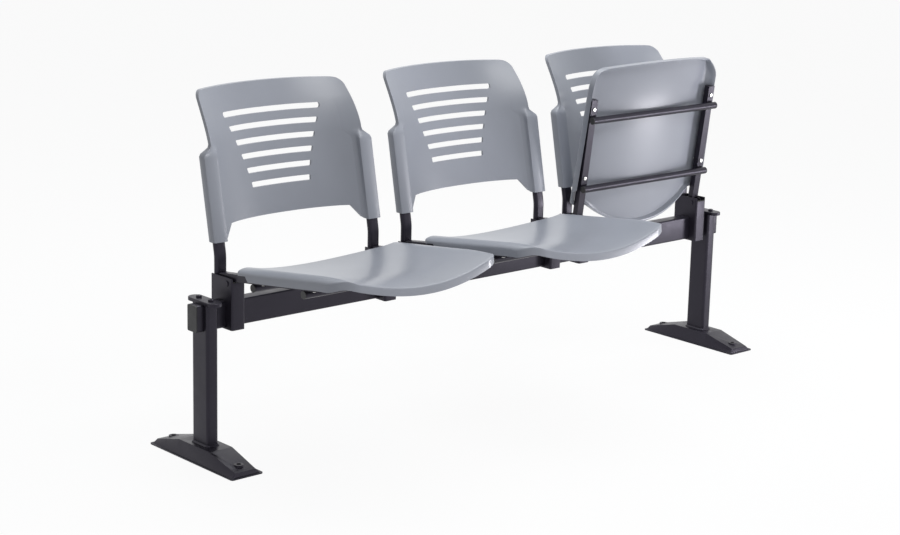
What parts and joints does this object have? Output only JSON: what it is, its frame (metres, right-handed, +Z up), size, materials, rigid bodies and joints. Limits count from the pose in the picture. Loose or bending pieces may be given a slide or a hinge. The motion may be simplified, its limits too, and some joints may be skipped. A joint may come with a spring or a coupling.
{
  "type": "beam seating",
  "caption": "Beam seating for waiting areas: tip-up moulded seats and slotted backs on a rectangular steel beam carried by flat columns on pressed feet.",
  "frame": {"origin": "on the floor, in the middle of the four floor bolt holes", "axes": "+X along the row, -Y towards the people who sit down, +Z up"},
  "size_m": [1.725, 0.6173, 0.8065],
  "materials": {
    "grey_plastic": "satin",
    "black_steel": "satin",
    "black_plastic": "matte",
    "buffer_rubber": "matte",
    "zinc_steel": "satin"
  },
  "bodies": {
    "bench": {"beam": "black_steel", "beam_end_caps": "black_plastic", "left_foot": "black_steel", "left_column": "black_steel", "left_clamp_plate": "black_steel", "left_clamp_bolts": "black_steel", "left_clamp_inserts": "zinc_steel", "right_foot": "black_steel", "right_column": "black_steel", "right_clamp_plate": "black_steel", "right_clamp_bolts": "black_steel", "right_clamp_inserts": "zinc_steel", "left_seat_left_bracket": "black_steel", "left_seat_left_upright": "black_steel", "left_seat_right_bracket": "black_steel", "left_seat_right_upright": "black_steel", "left_seat_stop_buffers": "buffer_rubber", "left_seat_back_shell": "grey_plastic", "middle_seat_left_bracket": "black_steel", "middle_seat_left_upright": "black_steel", "middle_seat_right_bracket": "black_steel", "middle_seat_right_upright": "black_steel", "middle_seat_stop_buffers": "buffer_rubber", "middle_seat_back_shell": "grey_plastic", "right_seat_left_bracket": "black_steel", "right_seat_left_upright": "black_steel", "right_seat_right_bracket": "black_steel", "right_seat_right_upright": "black_steel", "right_seat_stop_buffers": "buffer_rubber", "right_seat_back_shell": "grey_plastic", "pivot_pins": "black_steel", "upright_bolts": "black_steel", "back_screws": "zinc_steel"},
    "left_seat": {"left_seat_left_rail": "black_steel", "left_seat_right_rail": "black_steel", "left_seat_shell": "grey_plastic", "left_seat_front_bar": "black_steel", "left_seat_rear_bar": "black_steel", "left_seat_bar_caps": "black_plastic", "left_seat_screws": "zinc_steel", "left_seat_pivot_bushes": "black_plastic"},
    "middle_seat": {"middle_seat_left_rail": "black_steel", "middle_seat_right_rail": "black_steel", "middle_seat_shell": "grey_plastic", "middle_seat_front_bar": "black_steel", "middle_seat_rear_bar": "black_steel", "middle_seat_bar_caps": "black_plastic", "middle_seat_screws": "zinc_steel", "middle_seat_pivot_bushes": "black_plastic"},
    "right_seat": {"right_seat_left_rail": "black_steel", "right_seat_right_rail": "black_steel", "right_seat_shell": "grey_plastic", "right_seat_front_bar": "black_steel", "right_seat_rear_bar": "black_steel", "right_seat_bar_caps": "black_plastic", "right_seat_screws": "zinc_steel", "right_seat_pivot_bushes": "black_plastic"}
  },
  "joints": [
    {"name": "left_seat_hinge", "type": "hinge", "parent": "bench", "child": "left_seat", "pos_m": [-0.54, -0.021, 0.4], "axis": [-1, 0, 0], "range_deg": [0, 75.5]},
    {"name": "middle_seat_hinge", "type": "hinge", "parent": "bench", "child": "middle_seat", "pos_m": [0, -0.021, 0.4], "axis": [-1, 0, 0], "range_deg": [0, 75.5]},
    {"name": "right_seat_hinge", "type": "hinge", "parent": "bench", "child": "right_seat", "pos_m": [0.54, -0.021, 0.4], "axis": [-1, 0, 0], "range_deg": [-75.5, 0]}
  ]
}
